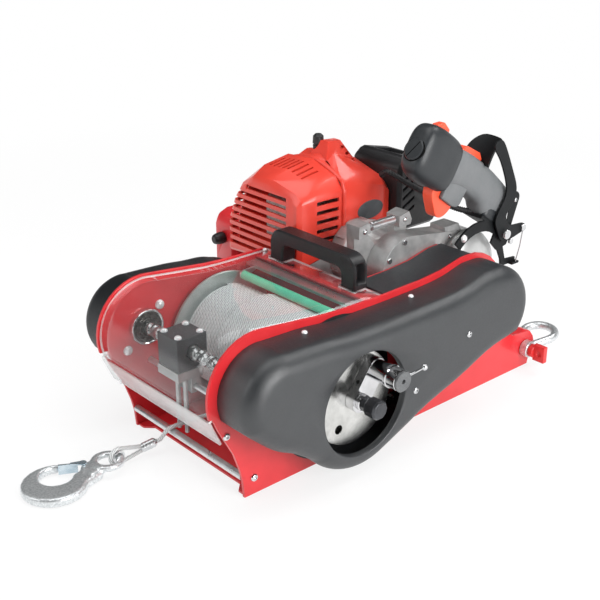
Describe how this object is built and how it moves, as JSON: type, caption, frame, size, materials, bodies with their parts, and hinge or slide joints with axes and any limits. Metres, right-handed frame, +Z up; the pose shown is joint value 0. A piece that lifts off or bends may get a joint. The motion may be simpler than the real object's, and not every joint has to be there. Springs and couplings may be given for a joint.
{
  "type": "portable engine winch",
  "caption": "Petrol engine rope winch on a folded sheet frame: level-wind drum, chain drive under moulded covers, throttle grip, anchor shackle and rope with an eye hook.",
  "frame": {"origin": "ground point under the middle of the machine without its rope and hook", "axes": "+X to the drive side, +Y from the rope outlet to the anchor shackle, +Z up"},
  "size_m": [0.474, 0.7883, 0.3738],
  "materials": {
    "red_paint": "gloss powder coat",
    "orange_plastic": "moulded gloss",
    "dark_plastic": "fine textured",
    "black_plastic": "satin",
    "grey_plastic": "satin",
    "clear_plastic": "clear sheet",
    "green_plastic": "satin",
    "zinc": "zinc plated",
    "polished_steel": "turned and polished",
    "dark_steel": "oiled",
    "cast_aluminium": "as cast",
    "wire_rope": "galvanised strands",
    "black_steel": "satin black",
    "starter_plastic": "moulded gloss"
  },
  "bodies": {
    "frame": {"air_filter": "black_plastic", "base_tray": "red_paint", "brake_wire": "zinc", "carry_handle": "black_plastic", "clear_cover": "clear_plastic", "clutch_housing": "cast_aluminium", "control_bracket": "black_steel", "drive_chain": "dark_steel", "drum_bearing_left": "dark_steel", "drum_bearing_right": "dark_steel", "engine_block": "cast_aluminium", "engine_shroud": "orange_plastic", "front_rod": "zinc", "fuel_tank": "grey_plastic", "gear_case_panel": "dark_plastic", "gearbox": "cast_aluminium", "gearbox_cover": "cast_aluminium", "grip_body": "grey_plastic", "grip_head": "dark_plastic", "guide_rod": "zinc", "inner_plate": "red_paint", "left_cover": "black_plastic", "muffler": "dark_steel", "muffler_guard": "orange_plastic", "plug_boot": "black_plastic", "pressure_rail": "zinc", "right_cover": "dark_plastic", "rope_eye": "zinc", "rope_free": "wire_rope", "screw_bearing_left": "dark_steel", "screw_bearing_right": "dark_steel", "side_plate_left": "red_paint", "side_plate_right": "red_paint", "starter_housing": "starter_plastic", "stay_cylinder": "zinc", "thimble": "zinc", "throttle_conduit": "black_plastic", "timing_chain": "dark_steel"},
    "drum": {"drum": "zinc", "rope_core": "wire_rope", "rope_winding": "wire_rope", "drum_shaft": "polished_steel", "clutch_arm": "polished_steel"},
    "plunger": {"plunger_knob": "black_plastic"},
    "centre_knob": {"centre_knob": "black_plastic"},
    "disc": {"drive_disc": "polished_steel"},
    "sprocket": {"drive_sprocket": "dark_steel"},
    "screw": {"level_wind_screw": "dark_steel"},
    "carriage": {"guide_block": "black_plastic", "guide_plate": "cast_aluminium"},
    "roller": {"pressure_roller": "green_plastic"},
    "trigger": {"throttle_trigger": "orange_plastic"},
    "lockout": {"trigger_lockout": "orange_plastic"},
    "switch": {"stop_switch": "orange_plastic"},
    "lever": {"brake_lever": "black_steel"},
    "hook": {"hook": "zinc"},
    "latch": {"hook_latch": "zinc"},
    "shackle": {"shackle_bow": "zinc"},
    "shackle_pin": {"shackle_pin": "red_paint"},
    "starter_handle": {"starter_handle": "black_plastic"}
  },
  "joints": [
    {"name": "drum_spin", "type": "hinge", "parent": "frame", "child": "drum", "pos_m": [0.031, -0.1336, 0.097], "axis": [1, 0, 0], "continuous": true, "deforming": ["rope_free"]},
    {"name": "plunger_pull", "type": "slide", "parent": "drum", "child": "plunger", "axis": [1, 0, 0], "range_m": [0, 0.008], "stiffness_N_per_m": 600, "springref_m": -0.004},
    {"name": "centre_knob_turn", "type": "hinge", "parent": "drum", "child": "centre_knob", "pos_m": [0.031, -0.1336, 0.097], "axis": [1, 0, 0], "range_deg": [-180, 180]},
    {"name": "disc_spin", "type": "hinge", "parent": "frame", "child": "disc", "pos_m": [0.031, -0.1336, 0.097], "axis": [1, 0, 0], "continuous": true},
    {"name": "sprocket_spin", "type": "hinge", "parent": "frame", "child": "sprocket", "pos_m": [0.031, 0.1064, 0.14], "axis": [1, 0, 0], "continuous": true},
    {"name": "screw_spin", "type": "hinge", "parent": "frame", "child": "screw", "pos_m": [0.031, -0.2506, 0.137], "axis": [1, 0, 0], "continuous": true},
    {"name": "carriage_slide", "type": "slide", "parent": "frame", "child": "carriage", "axis": [1, 0, 0], "range_m": [-0.05, 0.104], "deforming": ["rope_free"]},
    {"name": "roller_spin", "type": "hinge", "parent": "frame", "child": "roller", "pos_m": [0.031, -0.1036, 0.1725], "axis": [1, 0, 0], "continuous": true},
    {"name": "trigger_pull", "type": "hinge", "parent": "frame", "child": "trigger", "pos_m": [0.09, 0.08225, 0.29212], "axis": [1, 0, 0], "range_deg": [0, 14], "stiffness_Nm_per_rad": 0.6, "springref_deg": -8.59},
    {"name": "lockout_press", "type": "hinge", "parent": "frame", "child": "lockout", "pos_m": [0.09, 0.13882, 0.32734], "axis": [1, 0, 0], "range_deg": [-7, 0], "stiffness_Nm_per_rad": 0.6, "springref_deg": 8.59},
    {"name": "switch_slide", "type": "slide", "parent": "frame", "child": "switch", "axis": [0, 0.8453, -0.5344], "range_m": [0, 0.008]},
    {"name": "lever_swing", "type": "hinge", "parent": "frame", "child": "lever", "pos_m": [0.1126, 0.2204, 0.2], "axis": [1, 0, 0], "range_deg": [-20, 0], "deforming": ["brake_wire"]},
    {"name": "hook_swing", "type": "hinge", "parent": "frame", "child": "hook", "pos_m": [-0.011, -0.3586, 0.008], "axis": [0, 0, 1], "range_deg": [-20, 20]},
    {"name": "latch_swing", "type": "hinge", "parent": "hook", "child": "latch", "pos_m": [-0.024, -0.3846, 0.008], "axis": [0, 0, 1], "range_deg": [0, 28], "stiffness_Nm_per_rad": 0.05, "springref_deg": -11.46},
    {"name": "shackle_swing", "type": "hinge", "parent": "frame", "child": "shackle", "pos_m": [0.136, 0.2454, 0.029], "axis": [1, 0, 0], "range_deg": [-15, 105]},
    {"name": "shackle_pin_turn", "type": "hinge", "parent": "shackle", "child": "shackle_pin", "pos_m": [0.136, 0.2454, 0.029], "axis": [1, 0, 0], "continuous": true},
    {"name": "starter_pull", "type": "slide", "parent": "frame", "child": "starter_handle", "axis": [0, -1, 0], "range_m": [0, 0.5], "stiffness_N_per_m": 8, "springref_m": -0.3}
  ],
  "couplings": [
    {"joint": "disc_spin", "follows": "drum_spin", "ratio": 1},
    {"joint": "sprocket_spin", "follows": "drum_spin", "ratio": 2.6},
    {"joint": "screw_spin", "follows": "drum_spin", "ratio": 0.5}
  ]
}
